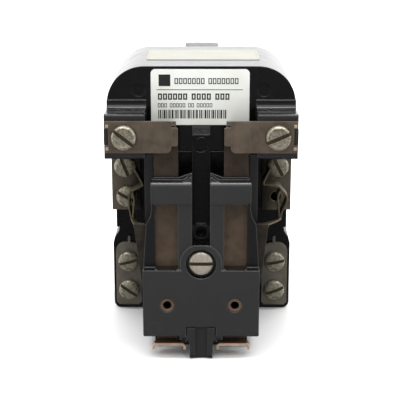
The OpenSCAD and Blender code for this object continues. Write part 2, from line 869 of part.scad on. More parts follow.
// Tubular rivets: a flat flange in front, a tube through the stack and a rolled end behind
module arm_rivets() {
    back = carrier_t + arm_t + clip_t + lead_t;
    roll = 0.5;
    color("#8a5f48") at_front() both_sides() difference() {
        union() {
            rod(rivet, rivet_flange_r, 0.05, 0.4);
            rod(rivet, rivet_tube_r, 0.05, back);
            rod(rivet, rivet_flange_r, back, back + roll);
        }
        rod(rivet, rivet_hole_r, -1, back + 2);
    }
}

// The channel clip at the foot of a contact arm: a leg behind the arm and a flanged toe in front
module arm_clip() {
    y = carrier_t + arm_t;
    web_t = 0.8;
    web_h = 4.5;
    toe = [1.2, 4.4];
    side = [5.35, 15.4];
    bend_r = 0.9;
    flange_low = 2.8;
    leg = [7.7, 14.4];
    web_low = web_h - web_t / 2;
    difference() {
        union() {
            box([leg[0], y, web_low], [leg[1], y + clip_t, 24]);
            box([leg[0], toe[1] - EPS, web_low], [leg[1], y + EPS, web_low + web_t]);
            along_y(toe[0], toe[1]) strip_line(concat(
                [[side[0], flange_low]],
                arc([side[0] + bend_r, web_h - bend_r], bend_r, 180, 90, 6),
                arc([side[1] - bend_r, web_h - bend_r], bend_r, 90, 0, 6),
                [[side[1], flange_low]]), web_t);
        }
        rod(rivet, rivet_tube_r + 0.05, y - 1, y + 2);
    }
}

module arm_clip_right() color("#b5825f") at_front() arm_clip();

module arm_clip_left() color("#b5825f") at_front() mirror([1, 0, 0]) arm_clip();

// ---- assembly ---------------------------------------------------------------

base_moulding();
hood();
front_label();
top_label();
mounting_plate();
plate_screws();
hood_screws();
front_terminal_left();
front_terminal_right();
front_terminal_screws();
common_terminal_left();
common_terminal_right();
common_terminal_screws();
rear_contact_left();
rear_contact_right();
rear_terminal_screws();
fixed_contact_tips();
flex_lead_left();
flex_lead_right();
yoke();
yoke_screws();
core();
core_screw();
shading_ring();
coil_bobbin();
coil_winding();
coil_wrap();
coil_lugs();
hinge_pin();
return_spring();
armature();
contact_carrier();
carrier_screw();
contact_arm_left();
contact_arm_right();
moving_contact_tips();
arm_rivets();
arm_clip_left();
arm_clip_right();
lead_strap_left();
lead_strap_right();
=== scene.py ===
"""Looks of a clapper-type control relay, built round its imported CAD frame. Lengths are in metres."""

import json
import math

import bmesh
import bpy
from mathutils import Matrix, Vector


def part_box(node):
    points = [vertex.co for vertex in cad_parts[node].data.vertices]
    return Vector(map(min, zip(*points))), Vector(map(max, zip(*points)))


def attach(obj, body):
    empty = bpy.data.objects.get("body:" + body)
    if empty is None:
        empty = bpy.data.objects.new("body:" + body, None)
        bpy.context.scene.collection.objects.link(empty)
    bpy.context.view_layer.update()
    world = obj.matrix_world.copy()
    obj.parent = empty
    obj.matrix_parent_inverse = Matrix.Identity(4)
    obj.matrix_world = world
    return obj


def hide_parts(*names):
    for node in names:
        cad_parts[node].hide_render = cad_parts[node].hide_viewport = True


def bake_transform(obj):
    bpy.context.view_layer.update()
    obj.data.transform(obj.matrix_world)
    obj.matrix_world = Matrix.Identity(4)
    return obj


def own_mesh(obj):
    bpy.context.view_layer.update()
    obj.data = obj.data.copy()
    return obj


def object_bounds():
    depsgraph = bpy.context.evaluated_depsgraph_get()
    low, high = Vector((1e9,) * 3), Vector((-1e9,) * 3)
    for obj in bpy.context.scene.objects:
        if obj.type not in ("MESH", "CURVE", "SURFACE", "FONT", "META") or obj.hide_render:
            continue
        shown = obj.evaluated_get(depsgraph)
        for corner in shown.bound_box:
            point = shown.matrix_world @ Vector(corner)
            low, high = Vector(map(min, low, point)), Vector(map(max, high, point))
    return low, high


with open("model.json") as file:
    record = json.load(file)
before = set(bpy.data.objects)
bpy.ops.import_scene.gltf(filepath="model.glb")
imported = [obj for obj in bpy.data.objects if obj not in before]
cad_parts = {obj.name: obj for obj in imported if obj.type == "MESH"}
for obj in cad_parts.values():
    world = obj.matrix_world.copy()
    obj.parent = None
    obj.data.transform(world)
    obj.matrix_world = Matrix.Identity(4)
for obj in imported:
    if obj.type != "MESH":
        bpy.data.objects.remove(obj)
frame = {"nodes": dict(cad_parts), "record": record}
cad_bounds = [list(corner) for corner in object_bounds()]
nodes = frame["nodes"]
scene = bpy.context.scene
MM = 0.001
# the plane of the object's front
FRONT = cad_bounds[0][1]
# edges at a wider angle than this are rounded
SHARP = math.radians(35)
# faces at a smaller angle than this are one flat face
COPLANAR = math.radians(0.5)
# corners this close are the same corner
TOUCHING = 1e-6


# ---- finishes ---------------------------------------------------------------


class Finish:
    """One material, with short calls for the few shader nodes that every finish here is made of.
    Texture sizes are in millimetres."""

    def __init__(self, name, rough, metal=0.0, specular=0.5):
        self.material = bpy.data.materials.new(name)
        self.material.use_nodes = True
        self.tree = self.material.node_tree
        self.shader = self.tree.nodes["Principled BSDF"]
        self.shader.inputs["Metallic"].default_value = metal
        self.shader.inputs["Roughness"].default_value = rough
        self.shader.inputs["Specular IOR Level"].default_value = specular
        scale = self.node("ShaderNodeVectorMath", operation="SCALE")
        scale.inputs["Scale"].default_value = 1 / MM
        self.join(self.node("ShaderNodeTexCoord").outputs["Object"], scale.inputs[0])
        self.place = scale.outputs[0]
        self.normal = None

    def node(self, kind, **settings):
        """A new shader node with those settings."""
        made = self.tree.nodes.new(kind)
        for key, value in settings.items():
            setattr(made, key, value)
        return made

    def join(self, output, socket):
        self.tree.links.new(output, socket)

    def feed(self, value, socket):
        """A number, a colour or another node's output goes into a socket."""
        if isinstance(value, bpy.types.NodeSocket):
            self.join(value, socket)
        elif isinstance(value, tuple):
            socket.default_value = (*value, 1.0)
        else:
            socket.default_value = value

    def noise(self, size, detail=3.0, stretch=(1, 1, 1), shift=0.0):
        """Clouds of that size; each shift gives a pattern of its own."""
        texture = self.node("ShaderNodeTexNoise")
        texture.inputs["Scale"].default_value = 1 / size
        texture.inputs["Detail"].default_value = detail
        texture.inputs["Roughness"].default_value = 0.55
        mapping = self.node("ShaderNodeMapping")
        mapping.inputs["Scale"].default_value = stretch
        mapping.inputs["Location"].default_value = (shift, shift * 0.7, shift * 1.3)
        self.join(self.place, mapping.inputs["Vector"])
        self.join(mapping.outputs[0], texture.inputs["Vector"])
        return texture.outputs["Fac"]

    def span(self, value, low, high, to_low=0.0, to_high=1.0):
        """value, spread so that low to high becomes to_low to to_high, and held there beyond."""
        node = self.node("ShaderNodeMapRange")
        for key, number in (("From Min", low), ("From Max", high), ("To Min", to_low), ("To Max", to_high)):
            node.inputs[key].default_value = number
        self.join(value, node.inputs["Value"])
        return node.outputs["Result"]

    def sums(self, operation, a, b=0.0):
        """The named operation on two numbers or outputs."""
        node = self.node("ShaderNodeMath", operation=operation)
        self.feed(a, node.inputs[0])
        self.feed(b, node.inputs[1])
        return node.outputs[0]

    def ripple(self, value, pitch):
        """A wave between -1 and 1 that repeats every pitch."""
        return self.sums("SINE", self.sums("MULTIPLY", value, 2 * math.pi / pitch))

    def mix(self, factor, a, b):
        """Colour a where factor is 0 and colour b where it is 1."""
        # a mix node has these three sockets and this output for each type of data; these are the colours
        factor_socket, a_socket, b_socket, result = 0, 6, 7, 2
        node = self.node("ShaderNodeMix", data_type="RGBA")
        self.feed(factor, node.inputs[factor_socket])
        self.feed(a, node.inputs[a_socket])
        self.feed(b, node.inputs[b_socket])
        return node.outputs[result]

    def part(self, axis):
        """One coordinate, in millimetres."""
        node = self.node("ShaderNodeSeparateXYZ")
        self.join(self.place, node.inputs[0])
        return node.outputs[axis]

    def edges(self, radius, spread=0.25):
        """1 along sharp edges and 0 on open surfaces."""
        bevel = self.node("ShaderNodeBevel", samples=6)
        bevel.inputs["Radius"].default_value = radius * MM
        dot = self.node("ShaderNodeVectorMath", operation="DOT_PRODUCT")
        self.join(bevel.outputs[0], dot.inputs[0])
        self.join(self.node("ShaderNodeNewGeometry").outputs["Normal"], dot.inputs[1])
        return self.span(dot.outputs["Value"], 1.0, 1.0 - spread)

    def round_off(self, radius):
        """Light runs round sharp edges as if they had this radius, in millimetres."""
        bevel = self.node("ShaderNodeBevel", samples=8)
        bevel.inputs["Radius"].default_value = radius * MM
        self.normal = bevel.outputs[0]

    def facing_front(self):
        """1 on surfaces that face -y and 0 on the rest."""
        parts = self.node("ShaderNodeSeparateXYZ")
        self.join(self.node("ShaderNodeNewGeometry").outputs["Normal"], parts.inputs[0])
        return self.span(parts.outputs["Y"], -0.85, -0.98)

    def bump(self, height, depth):
        """Relief from a pattern, with that depth in millimetres."""
        node = self.node("ShaderNodeBump")
        node.inputs["Distance"].default_value = depth * MM
        node.inputs["Strength"].default_value = 1.0
        self.join(height, node.inputs["Height"])
        if self.normal:
            self.join(self.normal, node.inputs["Normal"])
        self.normal = node.outputs[0]

    def done(self, colour, rough=None):
        """The material, with that colour and, where it is given, that roughness."""
        self.feed(colour, self.shader.inputs["Base Color"])
        if rough is not None:
            self.feed(rough, self.shader.inputs["Roughness"])
        if self.normal:
            self.join(self.normal, self.shader.inputs["Normal"])
        return self.material


def srgb(r, g, b):
    """A colour given as 0 to 255, as the linear colour that the shader takes."""
    return tuple(c / 255 / 12.92 if c <= 10 else ((c / 255 + 0.055) / 1.055) ** 2.4 for c in (r, g, b))


def tone(colour, factor):
    """A lighter or darker kind of a colour."""
    return tuple(min(1.0, c * factor) for c in colour)


def phenolic(name, colour, rough, specular, rubbed, front, edge_rub_and_highlight):
    """Moulded black phenolic: a glossy skin with flow waves, fine dust and paler edges, which are partly
    rubbed and partly painted highlight. The faces that stand within front millimetres of the front plane are
    rubbed matt and paler. The last argument is how much the paler edges show, which is less further back."""
    plane = FRONT / MM
    f = Finish(name, rough, specular=specular)
    f.round_off(0.55)
    cloud = f.noise(9.0, shift=3.0)
    dust = f.span(f.noise(0.35, detail=4.0, shift=11.0), 0.58, 0.8)
    smear = f.span(f.noise(4.0, detail=5.0, stretch=(1.0, 1.0, 0.35), shift=5.0), 0.5, 0.8)
    scuff = f.span(f.noise(0.6, detail=5.0, stretch=(0.3, 1.0, 1.0), shift=13.0), 0.6, 0.75)
    shallow = f.span(f.part("Y"), plane + front, plane + front + 0.06, 1.0, 0.0)
    matt = f.sums("MULTIPLY", shallow, f.facing_front())
    skin = f.mix(cloud, tone(colour, 0.75), tone(colour, 1.3))
    skin = f.mix(matt, skin, f.mix(cloud, tone(rubbed, 0.85), tone(rubbed, 1.12)))
    skin = f.mix(f.sums("MULTIPLY", dust, 0.25), skin, tone(rubbed, 1.6))
    skin = f.mix(f.sums("MULTIPLY", scuff, 0.12), skin, tone(rubbed, 2.2))
    # paler edges: partly rubbing, partly painted highlight; they fade from 12 to 15 mm behind the front
    rubbed_and_highlit = f.sums("MULTIPLY", f.edges(0.25), f.span(f.noise(1.2, shift=7.0), 0.3, 0.62))
    bright_edges_full, bright_edges_faint = plane + 12, plane + 15
    rubbed_and_highlit = f.sums("MULTIPLY", rubbed_and_highlit, f.span(f.part("Y"), bright_edges_full, bright_edges_faint, edge_rub_and_highlight, edge_rub_and_highlight * 0.2))
    shade = f.mix(rubbed_and_highlit, skin, tone(rubbed, 3.2))
    f.bump(f.noise(0.25, detail=2.0, shift=2.0), 0.004)
    f.bump(f.noise(6.0, detail=1.0, shift=4.0), 0.012)
    sheen = f.sums("ADD", f.span(smear, 0.0, 1.0, rough * 0.8, rough * 1.3), f.sums("MULTIPLY", dust, 0.15))
    sheen = f.sums("ADD", sheen, f.sums("MULTIPLY", matt, 0.22))
    return f.done(shade, rough=sheen)


def oxidised(name, colour, metal, rough, glow, edge=0.5, dirt_and_painted_shade=None):
    """Copper alloy gone brown: cloudy oxide, fine speckle, rubbing marks and bright rubbed-bare edges. The
    last argument, where given, is painted shade, as (axis, start, end, factor): from start to end along the
    axis, in millimetres, the colour falls to factor times itself. X counts from the middle to either side, Y
    from the front plane and Z from the floor. Edge is how much the rubbed edges show."""
    f = Finish(name, rough, metal)
    f.round_off(0.2)
    patch = f.noise(5.0, detail=4.0, shift=1.0)
    warm = f.span(f.noise(2.2, detail=3.0, shift=8.0), 0.42, 0.68)
    speck = f.span(f.noise(0.22, detail=2.0, shift=4.0), 0.55, 0.72)
    rub = f.span(f.noise(0.5, detail=4.0, stretch=(1.0, 1.0, 0.12), shift=6.0), 0.5, 0.75)
    base = f.mix(f.span(patch, 0.35, 0.65), tone(colour, 0.78), tone(colour, 1.22))
    base = f.mix(f.sums("MULTIPLY", warm, 0.35), base, glow)
    base = f.mix(f.sums("MULTIPLY", speck, 0.4), base, tone(colour, 0.45))
    base = f.mix(f.sums("MULTIPLY", rub, 0.3), base, tone(colour, 1.6))
    rubbed_and_highlit = f.sums("MULTIPLY", f.edges(0.25), f.span(f.noise(0.9, shift=9.0), 0.3, 0.6))
    base = f.mix(f.sums("MULTIPLY", rubbed_and_highlit, edge), base, tone(glow, 1.9))
    # painted shade: from one end to the other along the axis the colour darkens towards black
    if dirt_and_painted_shade:
        axis, clean, dirty, factor = dirt_and_painted_shade
        along = f.part(axis)
        if axis == "X":
            along = f.sums("ABSOLUTE", along)
        if axis == "Y":
            along = f.sums("SUBTRACT", along, FRONT / MM)
        base = f.mix(f.span(along, clean, dirty, 0.0, 1.0 - factor), base, (0.0, 0.0, 0.0))
    f.bump(f.noise(0.3, detail=3.0, shift=2.0), 0.01)
    f.bump(patch, 0.03)
    return f.done(base, rough=f.span(patch, 0.3, 0.7, rough * 0.8, rough * 1.25))


def plated(name, colour, rough, dirt, soil=0.75, turned=True):
    """Nickel plating: dark pits, patches of dirt, brighter edges and, on a turned head, tool marks in rings.
    Soil is how much the dirt covers."""
    f = Finish(name, rough, 0.65)
    pits = f.span(f.noise(0.2, detail=3.0, shift=3.0), 0.5, 0.68)
    dirt_and_painted_shade = f.span(f.noise(0.8, detail=4.0, shift=5.0), 0.4, 0.66)
    rubbed_and_highlit = f.edges(0.3, spread=0.3)
    base = f.mix(f.sums("MULTIPLY", dirt_and_painted_shade, soil), colour, dirt)
    base = f.mix(f.sums("MULTIPLY", pits, soil * 0.7), base, tone(dirt, 0.55))
    base = f.mix(f.sums("MULTIPLY", rubbed_and_highlit, 0.6), base, tone(colour, 1.7))
    if turned:
        flat = f.node("ShaderNodeVectorMath", operation="MULTIPLY")
        f.join(f.place, flat.inputs[0])
        flat.inputs[1].default_value = (1.0, 0.0, 1.0)
        radius = f.node("ShaderNodeVectorMath", operation="LENGTH")
        f.join(flat.outputs[0], radius.inputs[0])
        f.bump(f.ripple(radius.outputs["Value"], 0.45), 0.006)
    f.bump(f.noise(0.2, detail=3.0, shift=7.0), 0.014)
    return f.done(base, rough=f.span(dirt_and_painted_shade, 0.0, 1.0, rough * 0.8, rough * 1.6))


def steel(name, colour, rough, drawn, metal=1.0, side_shade=1.0):
    """Machined or rolled steel, with marks drawn out along the axis whose stretch is small. As painted
    shade, on faces that don't face the front the colour falls to the last argument times itself."""
    f = Finish(name, rough, metal)
    lines = f.noise(0.12, detail=3.0, stretch=drawn, shift=2.0)
    stain = f.span(f.noise(3.0, detail=4.0, shift=6.0), 0.45, 0.75)
    base = f.mix(lines, tone(colour, 0.8), tone(colour, 1.15))
    base = f.mix(f.sums("MULTIPLY", stain, 0.35), base, tone(colour, 0.45))
    base = f.mix(f.sums("MULTIPLY", f.edges(0.25), 0.4), base, tone(colour, 1.6))
    # painted shade: faces that don't face the front are darker
    base = f.mix(f.span(f.facing_front(), 0.0, 1.0, 1.0 - side_shade, 0.0), base, (0.0, 0.0, 0.0))
    f.bump(lines, 0.006)
    return f.done(base, rough=f.span(stain, 0.0, 1.0, rough * 0.85, rough * 1.4))


def paper(name, colour, tint, rough, specular):
    """Label stock: faint fibres, uneven yellowing and a slightly soiled surface."""
    f = Finish(name, rough, specular=specular)
    fibre = f.noise(0.18, detail=4.0, stretch=(0.35, 1.0, 1.0), shift=1.0)
    age = f.span(f.noise(7.0, detail=3.0, shift=5.0), 0.4, 0.75)
    soil = f.span(f.noise(0.5, detail=4.0, shift=9.0), 0.62, 0.8)
    base = f.mix(f.sums("MULTIPLY", age, 0.5), colour, tint)
    base = f.mix(f.sums("MULTIPLY", soil, 0.15), base, tone(tint, 0.6))
    f.bump(fibre, 0.004)
    return f.done(base, rough=f.span(fibre, 0.3, 0.7, rough * 0.9, rough * 1.1))


def ink(name, colour):
    """Printing ink that thins out a little where the paper is rough."""
    f = Finish(name, 0.5, specular=0.3)
    thin = f.span(f.noise(0.12, detail=3.0, shift=3.0), 0.55, 0.8)
    return f.done(f.mix(f.sums("MULTIPLY", thin, 0.3), colour, tone(colour, 3.0)))


def moulded(name, colour, rough):
    """A plain moulded plastic with a soft mottle and fine grain."""
    f = Finish(name, rough)
    mottle = f.noise(2.5, detail=3.0, shift=2.0)
    f.bump(f.noise(0.3, shift=4.0), 0.01)
    return f.done(f.mix(mottle, tone(colour, 0.85), tone(colour, 1.12)))


def wound(name, colour, pitch, rough, metal):
    """Turns laid side by side along y: rounded ridges, and painted shade darkening the grooves between them.
    """
    f = Finish(name, rough, metal)
    wobble = f.sums("MULTIPLY", f.noise(3.0, shift=2.0), pitch * 0.3)
    ridge = f.ripple(f.sums("ADD", f.part("Y"), wobble), pitch)
    # painted shade in the grooves between turns
    base = f.mix(f.span(ridge, -1.0, 1.0), tone(colour, 0.35), tone(colour, 1.1))
    base = f.mix(f.sums("MULTIPLY", f.noise(1.5, shift=7.0), 0.3), base, tone(colour, 0.6))
    f.bump(ridge, pitch * 0.3)
    return f.done(base)


finishes = {
    # the paler edges of these three are partly rubbing and partly painted highlight, most on the carrier
    "phenolic": phenolic("phenolic", srgb(9, 9, 10), 0.18, 0.5, srgb(38, 37, 37), 9.9, 0.5),
    "dusty_phenolic": phenolic("dusty_phenolic", srgb(8, 8, 9), 0.3, 0.36, srgb(40, 39, 39), 9.9, 0.5),
    "carrier_plastic": phenolic("carrier_plastic", srgb(13, 13, 15), 0.2, 0.8, srgb(37, 37, 38), 1.2, 0.9),
    "nameplate": paper("nameplate", srgb(236, 238, 233), srgb(222, 222, 208), 0.4, 0.35),
    "cream_label": paper("cream_label", srgb(172, 171, 164), srgb(164, 161, 148), 0.6, 0.03),
    # painted shade: the steel plate is darker on every face that doesn't face the front
    "steel_plate": steel("steel_plate", srgb(240, 241, 243), 0.42, (1.0, 1.0, 0.06), 0.1, 0.3),
    "tarnished_copper": oxidised("tarnished_copper", srgb(92, 82, 71), 0.45, 0.5, srgb(118, 96, 78)),
    # painted shade: the block plates darken towards the middle, between 24 and 21.5 mm out
    "block_copper": oxidised("block_copper", srgb(90, 82, 72), 0.45, 0.5, srgb(112, 96, 78), 0.5,
                             ("X", 24.0, 21.5, 0.25)),
    "olive_copper": oxidised("olive_copper", srgb(108, 105, 95), 0.45, 0.5, srgb(128, 116, 98)),
    "strap_copper": oxidised("strap_copper", srgb(49, 44, 37), 0.45, 0.45, srgb(84, 70, 56), 0.8),
    # painted shade: the contact arms darken upwards, from 30 to 70 mm, under the front plates
    "arm_copper": oxidised("arm_copper", srgb(108, 92, 77), 0.45, 0.45, srgb(134, 103, 76), 0.3,
                           ("Z", 30.0, 70.0, 0.22)),
    "spring_bronze": oxidised("spring_bronze", srgb(92, 85, 70), 0.6, 0.42, srgb(132, 120, 96), 0.9),
    "nickel_screw": plated("nickel_screw", srgb(180, 174, 156), 0.36, srgb(94, 86, 70)),
    "clean_nickel": plated("clean_nickel", srgb(212, 203, 189), 0.36, srgb(158, 146, 128), 0.4),
    # dirt and painted shade for the screw slots
    "slot_dirt_and_shade": oxidised("slot_dirt_and_shade", srgb(78, 68, 50), 0.3, 0.6, srgb(96, 84, 60), 0.1),
    # painted shade: the clips darken from 1.5 mm behind their front edge, under the carrier
    "bright_copper": oxidised("bright_copper", srgb(206, 168, 142), 0.55, 0.34, srgb(236, 200, 172), 0.9,
                              ("Y", 1.5, 2.1, 0.22)),
    # painted highlight: a bright copper for the glints on the small tabs at the plate corners
    "glinting_tab": oxidised("glinting_tab", srgb(176, 160, 142), 0.5, 0.36, srgb(200, 180, 158), 0.9),
    # painted shade: the rivets go dark inside their holes
    "rivet_copper": oxidised("rivet_copper", srgb(106, 86, 74), 0.45, 0.42, srgb(132, 104, 88), 0.3,
                             ("Y", 0.6, 1.2, 0.08)),
    "silver_contact": plated("silver_contact", srgb(214, 210, 202), 0.3, srgb(120, 112, 98), turned=False),
    "magnet_steel": steel("magnet_steel", srgb(150, 152, 154), 0.36, (0.06, 1.0, 1.0)),
    "bobbin_nylon": moulded("bobbin_nylon", srgb(58, 52, 44), 0.45),
    "copper_wire": wound("copper_wire", srgb(170, 96, 54), 0.35, 0.35, 0.85),
    "coil_tape": wound("coil_tape", srgb(52, 40, 30), 9.0, 0.7, 0.0),
    "black_ink": ink("black_ink", srgb(38, 38, 38)),
    "line_ink": ink("line_ink", srgb(144, 140, 122)),
}


# ---- CAD nodes ---------------------------------------------------------------


def shade(mesh, smooth=True):
    mesh.polygons.foreach_set("use_smooth", [smooth] * len(mesh.polygons))


def round_edges(made, width, segments=2):
    """Rounded edges of that width in millimetres."""
    bevel = made.modifiers.new("Edges", "BEVEL")
    bevel.limit_method = "ANGLE"
    bevel.angle_limit = SHARP
    bevel.width = width * MM
    bevel.segments = segments
    bevel.harden_normals = True


def dress(name, finish, bevel):
    """A CAD node that stays: its finish, and rounded edges of that width in millimetres."""
    node = nodes[name]
    node.data.materials.clear()
    node.data.materials.append(finishes[finish])
    custom = node.data.attributes.get("custom_normal")
    if custom:
        node.data.attributes.remove(custom)
    shade(node.data)
    weld = node.modifiers.new("Weld", "WELD")
    weld.merge_threshold = TOUCHING
    flat = node.modifiers.new("Flat", "DECIMATE")
    flat.decimate_type = "DISSOLVE"
    flat.angle_limit = COPLANAR
    round_edges(node, bevel, 3)
    node.modifiers.new("Normals", "WEIGHTED_NORMAL").keep_sharp = True


# how wide the rounded edges of a node are, in millimetres
THIN_BEVEL = 0.1
BEVELS = {
    "hood": 0.4, "base_moulding": 0.25, "contact_carrier": 0.25, "mounting_plate": 0.15,
    "front_label": 0.03, "top_label": 0.03,
    "coil_bobbin": 0.2, "yoke": 0.2, "core": 0.2, "armature": 0.2,
    "moving_contact_tips": 0.3, "fixed_contact_tips": 0.3,
    "arm_rivets": 0.12, "arm_clip_left": 0.18, "arm_clip_right": 0.18,
}
SCREW_NODES = ("front_terminal_screws", "common_terminal_screws", "rear_terminal_screws", "carrier_screw")
# nodes that pieces of their own stand in for
REBUILT = SCREW_NODES + ("flex_lead_left", "flex_lead_right", "return_spring")
# nodes whose finish is a duller or darker kind of their material
DULLED = {
    "base_moulding": "dusty_phenolic", "common_terminal": "block_copper", "rear_contact": "olive_copper",
    "lead_strap": "strap_copper", "contact_arm": "arm_copper",
}
for subpart in frame["record"]["subparts"]:
    name = subpart["node"]
    if name not in REBUILT:
        kind = name.removesuffix("_left").removesuffix("_right")
        dress(name, DULLED.get(kind, subpart["material_slot"]), BEVELS.get(name, THIN_BEVEL))


# ---- pieces ------------------------------------------------------------------


def body_of(node):
    """The name of the body that a CAD node belongs to."""
    return next(body for body, members in frame["record"]["behaviour"]["bodies"].items() if node in members)


def piece(name, mesh, finish, body):
    """A visible object with its finish and material slot; a blended piece has no body of its own."""
    made = bpy.data.objects.new(name, mesh)
    scene.collection.objects.link(made)
    mesh.materials.append(finishes[finish])
    if body:
        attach(made, body)
    return made


def mesh_from(name, bm, smooth=True):
    """A mesh with its faces turned outwards; the bmesh is used up."""
    bmesh.ops.recalc_face_normals(bm, faces=bm.faces)
    mesh = bpy.data.meshes.new(name)
    bm.to_mesh(mesh)
    bm.free()
    shade(mesh, smooth)
    return mesh


def solids(node):
    """The box of every separate solid of a CAD node, from left to right and then upwards."""
    bm = bmesh.new()
    bm.from_mesh(nodes[node].data)
    bmesh.ops.remove_doubles(bm, verts=bm.verts, dist=TOUCHING)
    left = set(bm.verts)
    boxes = []
    while left:
        group = [left.pop()]
        for vertex in group:
            for edge in vertex.link_edges:
                other = edge.other_vert(vertex)
                if other in left:
                    left.remove(other)
                    group.append(other)
        corners = [[f(v.co[axis] for v in group) for axis in range(3)] for f in (min, max)]
        boxes.append((Vector(corners[0]), Vector(corners[1])))
    bm.free()
    return sorted(boxes, key=lambda b: (round(b[0].x / MM), b[0].z))


def lathe(bm, profile):
    """Turns a profile of (radius, depth) points round the y axis."""
    steps = 72
    turn = 2 * math.pi / steps
    rings = []
    for radius, depth in profile:
        if radius == 0:
            rings.append([bm.verts.new((0, depth, 0))])
        else:
            rings.append([bm.verts.new((radius * math.cos(i * turn), depth, radius * math.sin(i * turn)))
                          for i in range(steps)])
    for a, b in zip(rings, rings[1:]):
        for i in range(max(len(a), len(b))):
            corners = [a[i % len(a)], a[(i + 1) % len(a)], b[(i + 1) % len(b)], b[i % len(b)]]
            bm.faces.new(list(dict.fromkeys(corners)))


def block(bm, low, high):
    """Adds a box between two corners."""
    made = bmesh.ops.create_cube(bm, size=1)
    size = Vector(high) - Vector(low)
    bmesh.ops.transform(bm, matrix=Matrix.Translation((Vector(low) + Vector(high)) / 2)
                        @ Matrix.Diagonal((*size, 1)), verts=made["verts"])


def cut(made, low, high):
    """Cuts a box out of a piece and keeps the result as its mesh."""
    bm = bmesh.new()
    block(bm, low, high)
    tool = bpy.data.objects.new("tool", mesh_from("tool", bm))
    scene.collection.objects.link(tool)
    boolean = made.modifiers.new("Slot", "BOOLEAN")
    boolean.object = tool
    boolean.solver = "EXACT"
    bpy.context.view_layer.update()
    result = bpy.data.meshes.new_from_object(made.evaluated_get(bpy.context.evaluated_depsgraph_get()))
    made.modifiers.clear()
    made.data = result
    bpy.data.objects.remove(tool)
    shade(made.data)


# a short length that only keeps a comparison safe
HAIR = MM / 1000
HEAD_T = 2.0 * MM
# how far the back rim of a head is cut off
HEAD_RIM = 0.15 * MM
SHANK_R = 1.7 * MM
SLOT_W = 1.15 * MM
SLOT_D = 0.9 * MM
# the face of each kind of head, as (part of the radius, depth in millimetres) from its middle outwards
FACES = {
    "rolled": ((0, 0.22), (0.62, 0.2), (0.7, 0.14), (0.76, 0.03), (0.81, 0.0), (0.86, 0.04), (0.91, 0.2),
               (0.96, 0.42), (1, 0.75)),
    "domed": ((0, 0), (0.3, 0.03), (0.55, 0.13), (0.75, 0.32), (0.88, 0.55), (0.96, 0.85), (1, 1.2)),
    "flat": ((0, 0), (0.6, 0.03), (0.76, 0.1), (0.87, 0.26), (0.95, 0.5), (1, 0.85)),
}
# the kind of head, its finish, and how far each slot rises to the right in degrees, from left to right and
# then upwards
SCREW_STYLES = {
    "front_terminal_screws": ("rolled", "nickel_screw", (-38, 23)),
    "common_terminal_screws": ("domed", "nickel_screw", (-28, -68, -63)),
    "rear_terminal_screws": ("domed", "nickel_screw", (-34, 15, 21, 10)),
    "carrier_screw": ("flat", "clean_nickel", (0,)),
}


def slotted_screw(name, low, high, kind, finish, rise):
    """A machine screw with a slotted head of that kind, dirt and painted shade in its slot and a plain
    shank.
    """
    radius = (high.x - low.x) / 2
    face = [(part * radius, depth * MM) for part, depth in FACES[kind]]
    side = [(radius, HEAD_T - HEAD_RIM), (radius - HEAD_RIM, HEAD_T), (SHANK_R, HEAD_T)]
    end = high.y - low.y
    bm = bmesh.new()
    lathe(bm, face + side + [(SHANK_R, end), (0, end)])
    made = bpy.data.objects.new(name, mesh_from(name, bm))
    scene.collection.objects.link(made)
    past_rim = radius * 1.1
    cut(made, (-past_rim, -MM, -SLOT_W / 2), (past_rim, SLOT_D, SLOT_W / 2))
    made.data.materials.clear()
    made.data.materials.append(finishes[finish])
    made.data.materials.append(finishes["slot_dirt_and_shade"])
    # the faces inside the slot take the dark finish: dirt and painted shade
    reach = SLOT_W / 2 + HAIR
    for face in made.data.polygons:
        corners = [made.data.vertices[i].co for i in face.vertices]
        if face.center.y <= SLOT_D + HAIR and all(abs(corner.z) < reach for corner in corners):
            face.material_index = 1
    round_edges(made, 0.08)
    made.location = ((low.x + high.x) / 2, low.y, (low.z + high.z) / 2)
    made.rotation_euler = (0, -math.radians(rise), 0)
    return made


for node, (kind, finish, turns) in SCREW_STYLES.items():
    for number, ((low, high), rise) in enumerate(zip(solids(node), turns)):
        screw = slotted_screw(f"{node}_{number + 1}", low, high, kind, finish, rise)
        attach(screw, body_of(node))
        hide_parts(node)


def ring(name, middle, inner, outer, rise, finish):
    """A flat ring round a point on a front-facing surface; the lengths are in millimetres."""
    lip = min(rise, outer - inner) * 0.4
    profile = ((inner, 0), (inner, lip - rise), (inner + lip, -rise), (outer - lip, -rise),
               (outer, lip - rise), (outer, 0))
    bm = bmesh.new()
    lathe(bm, [(r * MM, y * MM) for r, y in profile])
    made = piece(name, mesh_from(name, bm), finish, "base")
    made.location = middle


# flat washers under the front screws, and the lip of the free hole
plate_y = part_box("front_terminal_left")[0].y
for number, (low, high) in enumerate(solids("front_terminal_screws")):
    ring(f"front_washer_{number + 1}", ((low.x + high.x) / 2, plate_y, (low.z + high.z) / 2),
         inner=3.0, outer=4.1, rise=0.16, finish="strap_copper")
spare_hole = next(m for m in frame["record"]["mounts"] if m["name"] == "spare_common_hole")
ring("spare_hole_lip", spare_hole["pos_m"], inner=1.6, outer=2.4, rise=0.22, finish="spring_bronze")

